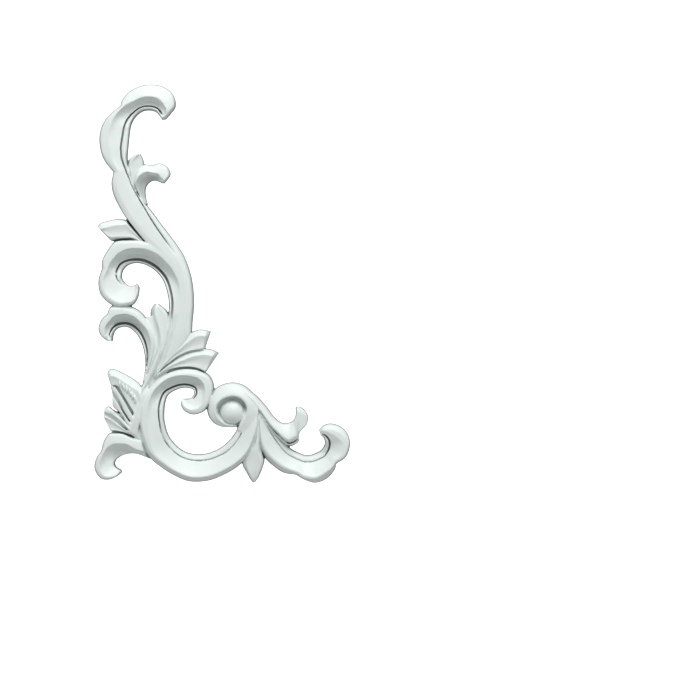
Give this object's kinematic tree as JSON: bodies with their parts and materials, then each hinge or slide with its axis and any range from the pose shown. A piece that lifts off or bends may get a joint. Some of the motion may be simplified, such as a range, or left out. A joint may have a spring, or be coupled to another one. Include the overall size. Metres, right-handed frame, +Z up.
{
  "type": "carved corner applique",
  "caption": "White moulded PVC corner ornament in relief: a tall curled stem over a ring scroll, with hooks, pointed leaves and a ball in a small scroll, flat at the back to fix on a surface.",
  "frame": {"origin": "on the flat back, behind the left side of the large ring scroll", "axes": "+Z up as the ornament is fixed, +X to the right seen from the front, +Y out of the flat back towards the surface behind it, so the carving faces -Y"},
  "size_m": [0.1541, 0.0132, 0.2393],
  "materials": {
    "pvc": "matt white moulded PVC, unpainted"
  },
  "bodies": {
    "root": {"corner_ornament": "pvc"}
  },
  "joints": []
}
